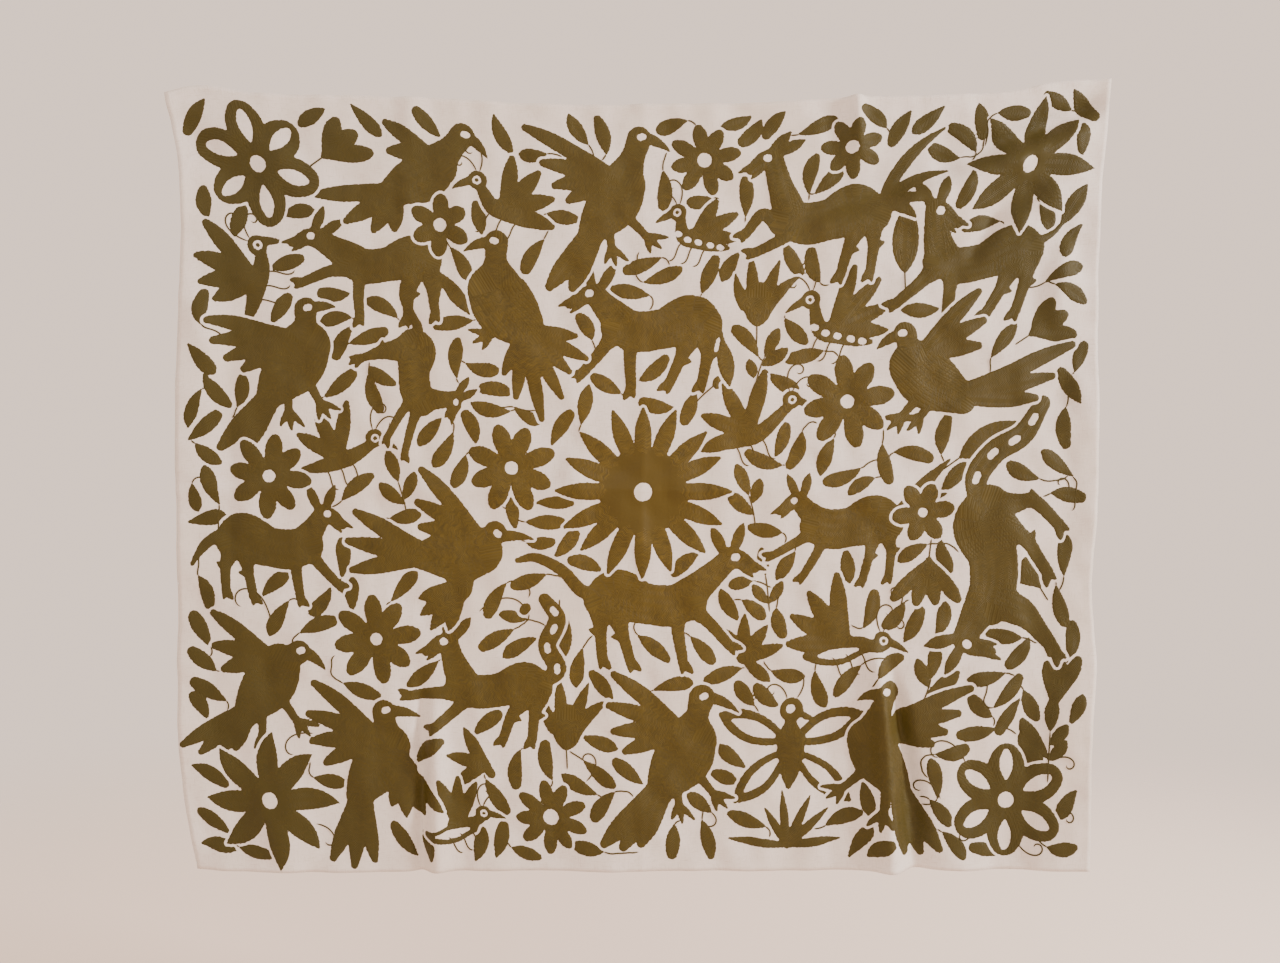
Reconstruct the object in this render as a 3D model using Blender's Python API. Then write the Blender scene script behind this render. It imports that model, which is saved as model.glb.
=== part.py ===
"""Otomi embroidered cloth: one cotton panel with its narrow hem, hanging by its two top corners.

Metres, +Z up, and the front faces -Y. The origin is on the top edge, halfway between the corners.
"""

import bmesh
import bpy
import numpy as np

THICKNESS = 0.002  # cotton, hem and worked thread together

# The sheet's cells are finer where it is pleated or drawn up.
COLUMN_BANDS = (
    # from share, to share, cells
    (0.00, 0.20, 8),
    (0.20, 0.31, 12),
    (0.31, 0.69, 13),
    (0.69, 0.83, 16),
    (0.83, 1.00, 12),
)
ROW_BANDS = (
    # from share, to share, cells
    (0.00, 0.34, 21),
    (0.34, 0.66, 11),
    (0.66, 1.00, 12),
)

# The hanging outline. Shares run from 0 to 1 down the drop, or across from the left side.
SIDES = (
    # share down, left x, right x
    (0.00, -0.601, 0.598),
    (0.04, -0.594, 0.595),
    (0.09, -0.584, 0.590),
    (0.13, -0.580, 0.587),
    (0.28, -0.580, 0.581),
    (0.40, -0.584, 0.580),
    (0.55, -0.585, 0.578),
    (0.65, -0.584, 0.571),
    (0.74, -0.584, 0.576),
    (0.82, -0.582, 0.570),
    (0.90, -0.576, 0.569),
    (0.96, -0.567, 0.569),
    (1.00, -0.560, 0.569),
)
ENDS = (
    # share across, top z, bottom z
    (0.00, 0.013, -0.970),
    (0.02, 0.021, -0.971),
    (0.10, 0.013, -0.973),
    (0.20, 0.010, -0.974),
    (0.28, 0.007, -0.972),
    (0.39, 0.000, -0.972),
    (0.57, 0.000, -0.972),
    (0.65, 0.002, -0.972),
    (0.72, 0.008, -0.971),
    (0.83, 0.011, -0.972),
    (0.90, 0.017, -0.973),
    (0.94, 0.027, -0.973),
    (1.00, 0.031, -0.972),
)

# Each fold is a soft ridge along a line, or a trough where its height is negative. It starts at
# full height where it is born at an edge, and it dies out over the fade shares of its length.
FOLDS = (
    # name, start x, start z, end x, end z, bow, start width, end width, height, fade in, fade out
    ("corner_trough", 0.600, 0.010, 0.020, -0.200, 0.012, 0.012, 0.034, -0.012, 0.08, 0.60),
    ("corner_ridge", 0.600, -0.020, -0.060, -0.265, 0.010, 0.015, 0.036, 0.012, 0.10, 0.60),
    ("corner_lower_trough", 0.560, -0.070, 0.080, -0.330, 0.015, 0.014, 0.042, -0.007, 0.25, 0.50),
    ("corner_crumple", 0.470, -0.110, 0.395, -0.235, 0.004, 0.010, 0.015, -0.008, 0.30, 0.40),
    ("right_side_ridge", 0.545, -0.150, 0.520, -0.290, 0.003, 0.012, 0.016, 0.006, 0.30, 0.40),
    ("top_tuck", 0.272, 0.030, 0.279, -0.090, 0.002, 0.008, 0.013, 0.012, 0.00, 0.60),
    ("top_left_tuck", -0.284, 0.020, -0.290, -0.070, 0.001, 0.012, 0.018, 0.004, 0.00, 0.70),
    ("left_corner_trough", -0.600, 0.000, -0.440, -0.150, -0.010, 0.018, 0.045, -0.008, 0.10, 0.60),
    ("left_corner_ridge", -0.600, -0.050, -0.520, -0.420, -0.008, 0.016, 0.030, 0.007, 0.20, 0.45),
    ("middle_crease", -0.560, -0.490, 0.420, -0.492, 0.002, 0.018, 0.020, 0.003, 0.15, 0.15),
    ("right_pleat", 0.296, -0.650, 0.318, -1.010, 0.004, 0.009, 0.020, 0.021, 0.40, 0.00),
    ("right_pleat_slit", 0.314, -0.690, 0.356, -1.010, 0.006, 0.009, 0.020, -0.014, 0.28, 0.00),
    ("right_hollow", 0.455, -0.800, 0.470, -1.010, 0.000, 0.034, 0.044, -0.010, 0.50, 0.00),
    ("left_pleat", -0.260, -0.730, -0.256, -1.010, 0.002, 0.010, 0.016, 0.011, 0.40, 0.00),
    ("left_pleat_slit", -0.278, -0.700, -0.276, -1.010, 0.002, 0.008, 0.011, -0.010, 0.35, 0.00),
    ("middle_flute", -0.020, -0.760, -0.035, -1.010, 0.003, 0.035, 0.050, 0.006, 0.60, 0.00),
    ("left_flute", -0.470, -0.760, -0.455, -1.010, 0.004, 0.032, 0.045, 0.006, 0.60, 0.00),
)

# Both sides stand forward of the middle where no fold holds them back.
SIDE_CURLS = (
    # name, edge x, middle z, half length, reach in from the edge, height
    ("upper_left", -0.583, -0.360, 0.150, 0.070, 0.011),
    ("lower_left", -0.580, -0.800, 0.080, 0.050, 0.007),
    ("upper_right", 0.580, -0.420, 0.120, 0.055, 0.008),
    ("lower_right", 0.570, -0.800, 0.170, 0.080, 0.012),
)


def ticks(bands):
    """The shares of the grid lines that the bands ask for, from 0 to 1."""
    lines = [np.linspace(start, end, cells, endpoint=False) for start, end, cells in bands]
    return np.append(np.concatenate(lines), 1.0)


def ease(t):
    """Rises smoothly from 0 to 1 as t does, and stays level beyond."""
    t = np.clip(t, 0, 1)
    return t * t * (3 - 2 * t)


def through(shares, values, at):
    """A smooth line through the values: a cubic between neighbours, with the slopes of a chord."""
    slopes = np.gradient(values, shares)
    row = np.clip(np.searchsorted(shares, at) - 1, 0, len(shares) - 2)
    step = shares[row + 1] - shares[row]
    t = (at - shares[row]) / step
    rise = ease(t)
    start = t * (1 - t) ** 2 * step * slopes[row]
    end = t**2 * (t - 1) * step * slopes[row + 1]
    return values[row] * (1 - rise) + values[row + 1] * rise + start + end


def outline(across, down):
    """The x and z of a place given by its shares across and down the panel."""
    share_down, left, right = np.array(SIDES).T
    share_across, top, bottom = np.array(ENDS).T
    x = through(share_down, left, down) * (1 - across) + through(share_down, right, down) * across
    z = through(share_across, top, across) * (1 - down) + through(share_across, bottom, across) * down
    return x, z


def fold_height(x, z, fold):
    """How far one fold lifts the place: a bell across its line, which bows sideways halfway along."""
    _, x0, z0, x1, z1, bow, start_width, end_width, height, fade_in, fade_out = fold
    length = np.hypot(x1 - x0, z1 - z0)
    along_x, along_z = (x1 - x0) / length, (z1 - z0) / length
    along = ((x - x0) * along_x + (z - z0) * along_z) / length
    aside = (z - z0) * along_x - (x - x0) * along_z
    aside = aside - bow * 4 * along * (1 - along)
    width = start_width + (end_width - start_width) * np.clip(along, 0, 1)
    born = ease(along / fade_in) if fade_in else 1
    dies = ease((1 - along) / fade_out) if fade_out else 1
    return height * born * dies * np.exp(-((aside / width) ** 2))


def curl_height(x, z, curl):
    """How far one free stretch of a side stands forward."""
    _, edge_x, middle_z, half_length, reach, height = curl
    across = ease(1 - np.abs(x - edge_x) / reach)
    return height * across * np.exp(-(((z - middle_z) / half_length) ** 2))


def relief(x, z):
    """How far the cloth stands forward of the plane it hangs in."""
    folds = sum(fold_height(x, z, fold) for fold in FOLDS)
    return folds + sum(curl_height(x, z, curl) for curl in SIDE_CURLS)


def cotton():
    material = bpy.data.materials.new("cotton_muslin")
    material.use_nodes = True
    shader = material.node_tree.nodes["Principled BSDF"]
    shader.inputs["Base Color"].default_value = (0.68, 0.61, 0.56, 1)
    shader.inputs["Roughness"].default_value = 0.9
    shader.inputs["Metallic"].default_value = 0
    return material


def cloth():
    """The panel as one sheet of quads on its folds, made solid about its middle surface."""
    across, down = np.meshgrid(ticks(COLUMN_BANDS), ticks(ROW_BANDS))
    x, z = outline(across, down)
    forward = relief(x, z) - relief(0.0, 0.0)
    rows, columns = x.shape
    grid = bmesh.new()
    points = [grid.verts.new(p) for p in np.stack([x, -forward, z], axis=-1).reshape(-1, 3)]
    for row in range(rows - 1):
        for column in range(columns - 1):
            corner = row * columns + column
            below = corner + columns
            grid.faces.new([points[i] for i in (corner, below, below + 1, corner + 1)])
    for face in grid.faces:
        face.smooth = True
    mesh = bpy.data.meshes.new("cloth")
    grid.to_mesh(mesh)
    grid.free()
    panel = bpy.data.objects.new("cloth", mesh)
    bpy.context.scene.collection.objects.link(panel)
    mesh.materials.append(cotton())
    solid = panel.modifiers.new("thickness", "SOLIDIFY")
    solid.thickness = THICKNESS
    solid.offset = 0
    return panel


for leftover in list(bpy.data.objects):
    bpy.data.objects.remove(leftover)
cloth()
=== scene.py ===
import bpy
import numpy as np
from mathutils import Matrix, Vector


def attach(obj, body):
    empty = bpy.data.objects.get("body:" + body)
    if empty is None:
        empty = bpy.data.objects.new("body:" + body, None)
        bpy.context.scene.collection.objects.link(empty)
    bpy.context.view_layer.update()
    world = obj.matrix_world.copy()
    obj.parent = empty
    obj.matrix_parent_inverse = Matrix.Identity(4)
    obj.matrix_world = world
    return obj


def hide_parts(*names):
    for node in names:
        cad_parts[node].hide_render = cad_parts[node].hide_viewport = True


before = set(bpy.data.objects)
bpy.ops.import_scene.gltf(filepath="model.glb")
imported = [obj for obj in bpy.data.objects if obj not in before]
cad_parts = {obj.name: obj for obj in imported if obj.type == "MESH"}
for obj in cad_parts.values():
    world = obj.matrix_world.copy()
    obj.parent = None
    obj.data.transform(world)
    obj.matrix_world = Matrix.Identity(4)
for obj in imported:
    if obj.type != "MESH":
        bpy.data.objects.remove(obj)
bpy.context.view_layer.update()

# ------------------------------------------------------------
# The cloth. One panel of plain-woven, undyed cotton muslin, cut to 1.20 by 1.00 m with a narrow
# hem turned on its four sides. It hangs by its two top corners, so folds run in from the corners
# and stand out along the lower edge, and it keeps the sharp creases of having lain folded.
# ------------------------------------------------------------
CUT = (1.20, 1.00)  # width and drop of the flat panel, in metres
CLOTH_HALF = 0.0005  # half the thickness of the muslin
HEM_WIDTH, HEM_HALF = 0.009, 0.0009

# Cells are finer where the panel is pleated, drawn up or sharply creased.
COLUMN_BANDS = (
    # from share, to share, cells
    (0.000, 0.200, 38),
    (0.200, 0.310, 34),
    (0.310, 0.488, 32),
    (0.488, 0.522, 12),
    (0.522, 0.690, 31),
    (0.690, 0.830, 48),
    (0.830, 1.000, 43),
)
ROW_BANDS = (
    # from share, to share, cells
    (0.000, 0.340, 68),
    (0.340, 0.477, 24),
    (0.477, 0.507, 13),
    (0.507, 0.660, 26),
    (0.660, 1.000, 66),
)

# The hanging outline. Shares run from 0 to 1 down the drop, or across from the left side.
SIDES = (
    # share down, left x, right x
    (0.00, -0.601, 0.598),
    (0.04, -0.594, 0.595),
    (0.09, -0.584, 0.590),
    (0.13, -0.580, 0.587),
    (0.28, -0.580, 0.581),
    (0.40, -0.584, 0.580),
    (0.55, -0.585, 0.578),
    (0.65, -0.584, 0.571),
    (0.74, -0.584, 0.576),
    (0.82, -0.582, 0.570),
    (0.90, -0.576, 0.569),
    (0.96, -0.567, 0.569),
    (1.00, -0.560, 0.569),
)
ENDS = (
    # share across, top z, bottom z
    (0.00, 0.013, -0.970),
    (0.02, 0.021, -0.971),
    (0.10, 0.013, -0.973),
    (0.20, 0.010, -0.974),
    (0.28, 0.007, -0.972),
    (0.39, 0.000, -0.972),
    (0.57, 0.000, -0.972),
    (0.65, 0.002, -0.972),
    (0.72, 0.008, -0.971),
    (0.83, 0.011, -0.972),
    (0.90, 0.017, -0.973),
    (0.94, 0.027, -0.973),
    (1.00, 0.031, -0.972),
)

# Each fold is a soft ridge along a line, or a trough where its height is negative. It starts at
# full height where it is born at an edge, and it dies out over the fade shares of its length.
FOLDS = (
    # name, start x, start z, end x, end z, bow, start width, end width, height, fade in, fade out
    ("corner_trough", 0.600, 0.010, 0.020, -0.200, 0.012, 0.012, 0.034, -0.012, 0.08, 0.60),
    ("corner_ridge", 0.600, -0.020, -0.060, -0.265, 0.010, 0.015, 0.036, 0.012, 0.10, 0.60),
    ("corner_lower_trough", 0.560, -0.070, 0.080, -0.330, 0.015, 0.014, 0.042, -0.007, 0.25, 0.50),
    ("corner_crumple", 0.470, -0.110, 0.395, -0.235, 0.004, 0.010, 0.015, -0.008, 0.30, 0.40),
    ("right_side_ridge", 0.545, -0.150, 0.520, -0.290, 0.003, 0.012, 0.016, 0.006, 0.30, 0.40),
    ("top_tuck", 0.272, 0.030, 0.279, -0.090, 0.002, 0.008, 0.013, 0.012, 0.00, 0.60),
    ("top_left_tuck", -0.284, 0.020, -0.290, -0.070, 0.001, 0.012, 0.018, 0.004, 0.00, 0.70),
    ("left_corner_trough", -0.600, 0.000, -0.440, -0.150, -0.010, 0.018, 0.045, -0.008, 0.10, 0.60),
    ("left_corner_ridge", -0.600, -0.050, -0.520, -0.420, -0.008, 0.016, 0.030, 0.007, 0.20, 0.45),
    ("middle_crease", -0.560, -0.490, 0.420, -0.492, 0.002, 0.018, 0.020, 0.003, 0.15, 0.15),
    ("right_pleat", 0.296, -0.650, 0.318, -1.010, 0.004, 0.009, 0.020, 0.021, 0.40, 0.00),
    ("right_pleat_slit", 0.314, -0.690, 0.356, -1.010, 0.006, 0.009, 0.020, -0.014, 0.28, 0.00),
    ("right_hollow", 0.455, -0.800, 0.470, -1.010, 0.000, 0.034, 0.044, -0.010, 0.50, 0.00),
    ("left_pleat", -0.260, -0.730, -0.256, -1.010, 0.002, 0.010, 0.016, 0.011, 0.40, 0.00),
    ("left_pleat_slit", -0.278, -0.700, -0.276, -1.010, 0.002, 0.008, 0.011, -0.010, 0.35, 0.00),
    ("middle_flute", -0.020, -0.760, -0.035, -1.010, 0.003, 0.035, 0.050, 0.006, 0.60, 0.00),
    ("left_flute", -0.470, -0.760, -0.455, -1.010, 0.004, 0.032, 0.045, 0.006, 0.60, 0.00),
)

# Both sides stand forward of the middle where no fold holds them back.
SIDE_CURLS = (
    # name, edge x, middle z, half length, reach in from the edge, height
    ("upper_left", -0.583, -0.360, 0.150, 0.070, 0.011),
    ("lower_left", -0.580, -0.800, 0.080, 0.050, 0.007),
    ("upper_right", 0.580, -0.420, 0.120, 0.055, 0.008),
    ("lower_right", 0.570, -0.800, 0.170, 0.080, 0.012),
)

# The panel was kept folded in four both ways, and each fold left a sharp low ridge or groove.
CREASES = (
    # name, start x, start z, end x, end z, height, reach to each side, where its unevenness starts
    ("across_middle", -0.570, -0.489, 0.560, -0.492, 0.0022, 0.007, 13),
    ("down_middle", 0.006, 0.000, 0.004, -0.972, 0.0015, 0.006, 11),
    ("across_upper", -0.560, -0.238, 0.570, -0.241, -0.0010, 0.007, 12),
    ("across_lower", -0.570, -0.731, 0.560, -0.729, -0.0010, 0.007, 12),
    ("down_left", -0.289, 0.005, -0.286, -0.972, 0.0013, 0.007, 9),
    ("down_right", 0.291, 0.010, 0.289, -0.640, 0.0014, 0.007, 10),
)
CREASE_STRAYS = 0.0012  # metres that a crease wanders from its line
RUMPLES = 40  # small waves that the handled cloth is never free of
RUMPLE_LENGTHS = (0.022, 0.120)  # metres from crest to crest
RUMPLE_STEEPNESS = 0.0066  # height of a wave as a share of its length
RUMPLE_SPREAD = 1.2  # radians that a wave's heading may be turned either way
RUMPLE_SEED = 11


def ticks(bands):
    """The shares of the grid lines that the bands ask for, from 0 to 1."""
    lines = [np.linspace(start, end, cells, endpoint=False) for start, end, cells in bands]
    return np.append(np.concatenate(lines), 1.0)


def ease(t):
    """Rises smoothly from 0 to 1 as t does, and stays level beyond."""
    t = np.clip(t, 0, 1)
    return t * t * (3 - 2 * t)


def through(shares, values, at):
    """A smooth line through the values: a cubic between neighbours, with the slopes of a chord."""
    slopes = np.gradient(values, shares)
    row = np.clip(np.searchsorted(shares, at) - 1, 0, len(shares) - 2)
    step = shares[row + 1] - shares[row]
    t = (at - shares[row]) / step
    rise = ease(t)
    start = t * (1 - t) ** 2 * step * slopes[row]
    end = t**2 * (t - 1) * step * slopes[row + 1]
    return values[row] * (1 - rise) + values[row + 1] * rise + start + end


def outline(across, down):
    """The x and z of a place given by its shares across and down the panel."""
    share_down, left, right = np.array(SIDES).T
    share_across, top, bottom = np.array(ENDS).T
    x = through(share_down, left, down) * (1 - across) + through(share_down, right, down) * across
    z = through(share_across, top, across) * (1 - down) + through(share_across, bottom, across) * down
    return x, z


def beside_line(x, z, x0, z0, x1, z1):
    """How far each place lies along a line and aside of it, and the line's length."""
    length = np.hypot(x1 - x0, z1 - z0)
    along_x, along_z = (x1 - x0) / length, (z1 - z0) / length
    along = (x - x0) * along_x + (z - z0) * along_z
    return along, (z - z0) * along_x - (x - x0) * along_z, length


def fold_height(x, z, fold):
    """How far one fold lifts the place: a bell across its line, which bows sideways halfway along."""
    _, *ends, bow, start_width, end_width, height, fade_in, fade_out = fold
    along, aside, length = beside_line(x, z, *ends)
    along = along / length
    aside = aside - bow * 4 * along * (1 - along)
    width = start_width + (end_width - start_width) * np.clip(along, 0, 1)
    born = ease(along / fade_in) if fade_in else 1
    dies = ease((1 - along) / fade_out) if fade_out else 1
    return height * born * dies * np.exp(-((aside / width) ** 2))


def curl_height(x, z, curl):
    """How far one free stretch of a side stands forward."""
    _, edge_x, middle_z, half_length, reach, height = curl
    across = ease(1 - np.abs(x - edge_x) / reach)
    return height * across * np.exp(-(((z - middle_z) / half_length) ** 2))


def crease_height(x, z, crease):
    """How far one pressed crease stands up: it falls away from its line as a thin tent does, and is
    stronger in some stretches than in others."""
    _, *ends, height, reach, start = crease
    along, aside, _ = beside_line(x, z, *ends)
    aside = aside + CREASE_STRAYS * np.sin(along * 31 + start)
    pressed = 0.65 + 0.35 * np.sin(along * 17 + 2 * start) * np.cos(along * 7)
    return height * pressed * np.exp(-np.sqrt((aside / reach) ** 2 + 0.03))


def rumple_height(x, z):
    """The sum of many small waves of set lengths that run every way. Most run up and down the drop."""
    dice = np.random.default_rng(RUMPLE_SEED)
    lengths = np.geomspace(*RUMPLE_LENGTHS, RUMPLES)
    headings = dice.uniform(-RUMPLE_SPREAD, RUMPLE_SPREAD, RUMPLES)
    starts = dice.uniform(0, 2 * np.pi, RUMPLES)
    total = np.zeros_like(x)
    for length, heading, start in zip(lengths, headings, starts):
        along = x * np.cos(heading) + z * np.sin(heading)
        swell = 0.6 + 0.4 * np.sin(9 * x + 3 * start) * np.cos(8 * z + start)
        total += RUMPLE_STEEPNESS * length * swell * np.sin(2 * np.pi * along / length + start)
    return total


def relief(x, z):
    """How far the cloth stands forward of the plane it hangs in."""
    folds = sum(fold_height(x, z, fold) for fold in FOLDS)
    return folds + sum(curl_height(x, z, curl) for curl in SIDE_CURLS)


def finer_relief(x, z):
    """What the muslin adds to its folds: its storage creases and its rumples."""
    return sum(crease_height(x, z, crease) for crease in CREASES) + rumple_height(x, z)


def new_piece(name, points, faces, material):
    """An object of one mesh, from its points and its faces of three or four corners."""
    mesh = bpy.data.meshes.new(name)
    mesh.vertices.add(len(points))
    mesh.vertices.foreach_set("co", np.ascontiguousarray(points, np.float32).ravel())
    mesh.loops.add(faces.size)
    mesh.loops.foreach_set("vertex_index", np.ascontiguousarray(faces, np.int32).ravel())
    mesh.polygons.add(len(faces))
    mesh.polygons.foreach_set("loop_start", np.arange(0, faces.size, faces.shape[1], dtype=np.int32))
    mesh.update(calc_edges=True)
    mesh.shade_smooth()
    mesh.materials.append(material)
    piece = bpy.data.objects.new(name, mesh)
    bpy.context.scene.collection.objects.link(piece)
    return piece


def give_uv(piece, name, corners):
    """Gives the piece a UV map, with one u and v for each corner of each face, in metres."""
    layer = piece.data.uv_layers.new(name=name)
    layer.data.foreach_set("uv", np.ascontiguousarray(corners, np.float32).ravel())


def linear(colour):
    """The linear red, green, blue and alpha of an sRGB hex colour."""
    part = np.array([int(colour[i : i + 2], 16) for i in (0, 2, 4)]) / 255
    part = np.where(part <= 0.04045, part / 12.92, ((part + 0.055) / 1.055) ** 2.4)
    return (*part, 1.0)


def add_node(tree, kind, inputs=None, **settings):
    """Adds one node with its settings. An input is a value, or the output socket that feeds it."""
    made = tree.nodes.new("ShaderNode" + kind)
    for key, value in settings.items():
        setattr(made, key, value)
    for socket, value in (inputs or {}).items():
        if isinstance(value, bpy.types.NodeSocket):
            tree.links.new(value, made.inputs[socket])
        else:
            made.inputs[socket].default_value = value
    return made


def new_material(name, roughness, specular):
    """A material with its node tree and its shader."""
    material = bpy.data.materials.new(name)
    material.use_nodes = True
    shader = material.node_tree.nodes["Principled BSDF"]
    shader.inputs["Roughness"].default_value = roughness
    shader.inputs["Specular IOR Level"].default_value = specular
    return material, material.node_tree, shader


def mixed(tree, share, one, other):
    """The colour that lies by its share on the way from one to the other."""
    return add_node(tree, "Mix", {0: share, 6: one, 7: other}, data_type="RGBA").outputs[2]


def ranged(tree, value, low, high, start=0.0, end=1.0):
    """The value's way from low to high, as a number from start to end."""
    return add_node(tree, "MapRange", {0: value, 1: low, 2: high, 3: start, 4: end}).outputs[0]


def noise(tree, vector, scale, detail):
    """Cloudy noise from 0 to 1."""
    inputs = {"Vector": vector, "Scale": scale, "Detail": detail}
    return add_node(tree, "TexNoise", inputs).outputs["Fac"]


# Unbleached cotton muslin, plain woven: matt, warm white, with slubs where a thread runs thick.
# Its threads lie 0.5 mm apart, too fine to show, so they are drawn three times as coarse.
MUSLIN, MUSLIN_SLUB, MUSLIN_AGED = "E0D5CC", "CFC2B6", "D8CABC"
MUSLIN_PITCH = 0.0015
WAVE_PERIOD = 2 * np.pi / 20  # length of one band of a wave texture at scale 1


def muslin():
    """Threads that run both ways, here and there a thick one, and patches yellowed with age."""
    material, tree, shader = new_material("cotton_muslin_plain_weave", 0.88, 0.3)
    place = add_node(tree, "UVMap", uv_map="weave").outputs["UV"]
    waves, slubs = [], []
    for direction, stretch in (("X", (90, 700, 1)), ("Y", (700, 90, 1))):
        wave = add_node(
            tree, "TexWave", {"Vector": place, "Scale": WAVE_PERIOD / MUSLIN_PITCH, "Distortion": 1.5,
                              "Detail": 1.0, "Detail Scale": 0.3}, bands_direction=direction)
        stretched = add_node(tree, "Mapping", {"Vector": place, "Scale": stretch}).outputs[0]
        waves.append(wave.outputs["Fac"])
        slubs.append(noise(tree, stretched, 1.0, 2.0))
    weave = add_node(tree, "Math", {0: waves[0], 1: waves[1]}, operation="MULTIPLY").outputs[0]
    slub = add_node(tree, "Math", {0: slubs[0], 1: slubs[1]}, operation="MAXIMUM").outputs[0]
    height = add_node(tree, "Math", {0: slub, 1: 1.6, 2: weave}, operation="MULTIPLY_ADD").outputs[0]
    aged = ranged(tree, noise(tree, place, 4.5, 3.0), 0.45, 0.75)
    worn = mixed(tree, aged, linear(MUSLIN), linear(MUSLIN_AGED))
    colour = mixed(tree, ranged(tree, slub, 0.52, 0.78), worn, linear(MUSLIN_SLUB))
    bump = add_node(tree, "Bump", {"Strength": 0.35, "Distance": 0.0003, "Height": height})
    tree.links.new(colour, shader.inputs["Base Color"])
    tree.links.new(bump.outputs[0], shader.inputs["Normal"])
    shader.inputs["Sheen Weight"].default_value = 0.12
    return material


# The panel's middle surface, row by row from its top edge, and which way each place of it faces.
column_shares, row_shares = ticks(COLUMN_BANDS), ticks(ROW_BANDS)
across, down = np.meshgrid(column_shares, row_shares)
cloth_x, cloth_z = outline(across, down)
forward = relief(cloth_x, cloth_z) - relief(0.0, 0.0) + finer_relief(cloth_x, cloth_z)
middle = np.stack([cloth_x, -forward, cloth_z], axis=-1)
facing = np.cross(np.gradient(middle, axis=0), np.gradient(middle, axis=1))
facing /= np.linalg.norm(facing, axis=-1, keepdims=True)
from_side, from_end = np.minimum(across, 1 - across) * CUT[0], np.minimum(down, 1 - down) * CUT[1]
from_edge = np.minimum(from_side, from_end)
half = np.where(from_edge < HEM_WIDTH, HEM_HALF, CLOTH_HALF)[..., None]
cloth_front, cloth_back = middle + facing * half, middle - facing * half


def closed_sheet(rows, columns):
    """The quads of a front and a back grid, and of the strip that joins them round the border. The
    numbers of the back grid follow those of the front one."""
    number = np.arange(rows * columns).reshape(rows, columns)
    front = np.stack([number[:-1, :-1], number[1:, :-1], number[1:, 1:], number[:-1, 1:]], axis=-1)
    front = front.reshape(-1, 4)
    back = front[:, ::-1] + rows * columns
    rim = np.concatenate([number[0, :-1], number[:-1, -1], number[-1, :0:-1], number[:0:-1, 0]])
    following = np.roll(rim, -1)
    strip = np.stack([rim, following, following + rows * columns, rim + rows * columns], axis=-1)
    return np.concatenate([front, back, strip])


rows, columns = across.shape
faces = closed_sheet(rows, columns)
points = np.concatenate([cloth_front.reshape(-1, 3), cloth_back.reshape(-1, 3)])
cloth = new_piece("muslin_panel", points, faces, muslin())
flat = np.stack([across * CUT[0], (1 - down) * CUT[1]], axis=-1).reshape(-1, 2)
give_uv(cloth, "weave", np.concatenate([flat, flat])[faces])
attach(cloth, "root")
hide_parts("cloth")

# ------------------------------------------------------------
# The embroidery. Stranded cotton floss in one olive-mustard dye, worked on the front in close rows
# of slanting satin stitch that fill each drawn shape from edge to edge. Stems, feelers and thin
# legs are single lines of outline stitch. Drawing is in mm on the flat panel.
# ------------------------------------------------------------
FLOSS_HEIGHT = 0.0007  # how far the floss stands up from the cloth
FLOSS_SINK = 0.0003  # how far the edge of the filling goes down into it
FLOSS_ROUND = 1.1  # mm over which a filling rounds off to its edge
CELL = 1.7  # mm, the finest step of an embroidered outline
GAP = 2.2  # mm of bare cloth left between two figures that meet
SERRATION = 0.45  # mm by which single stitches overrun the drawn line
FULLNESS = 0.9  # mm by which a whole filling overruns it, all round
KNOT_SPACING = 4.0  # mm between two points of a stroke, or less
THREAD = 1.05  # mm, half width of one line of outline stitch
UNEVENNESS = 0.00006  # metres by which the floss is higher in one place than in the next
CORD_RISE, CORD_LIFT = 0.75e-3, 0.0001  # metres: a cord's height for each mm of half width, its lift
CORD_TAPER = 9  # one share in so many of a cord's length, over which it narrows to each end
ROW_SHIFT = 40  # mm by which the stitch rows of one stroke are set off from those of the next
STITCH_SEED = 5
FAR = 60.0  # mm, deeper or further off than any figure reaches
WIDE, TALL = 1000 * CUT[0], 1000 * CUT[1]

# Here a runs right from the panel's middle, and b runs up from its top edge.
drawn_a = np.linspace(-WIDE / 2, WIDE / 2, int(WIDE / CELL) + 1)
drawn_b = np.linspace(-TALL, 0, int(TALL / CELL) + 1)
grid_a, grid_b = np.meshgrid(drawn_a, drawn_b)
worked = np.full(grid_a.shape, -FAR)  # mm from the nearest edge of the stitching, positive inside it
taken = np.full(grid_a.shape, -FAR)  # the same, with the bare holes of each figure counted as its own
stitch_dice = np.random.default_rng(STITCH_SEED)


def walk(a, b, heading, length, bend=0.0, curl=0.0, steps=12):
    """Points of a path that leaves its start on its heading in degrees. It turns by bend over its
    length, and by curl more towards its end, as the cube of the share of the way."""
    t = (np.arange(steps) + 0.5) / steps
    angle = np.radians(heading + bend * t + curl * t**3)
    move = length / steps * np.stack([np.cos(angle), np.sin(angle)], axis=1)
    return np.concatenate([[[a, b]], [a, b] + np.cumsum(move, axis=0)])


def toward(heading):
    """The step of 1 mm along a heading in degrees, from level and right."""
    return np.array([np.cos(np.radians(heading)), np.sin(np.radians(heading))])


def heading_at(path, at):
    """The heading of a path in degrees, from one of its points to the next."""
    step = path[at + 1, :2] - path[at, :2]
    return np.degrees(np.arctan2(step[1], step[0]))


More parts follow.
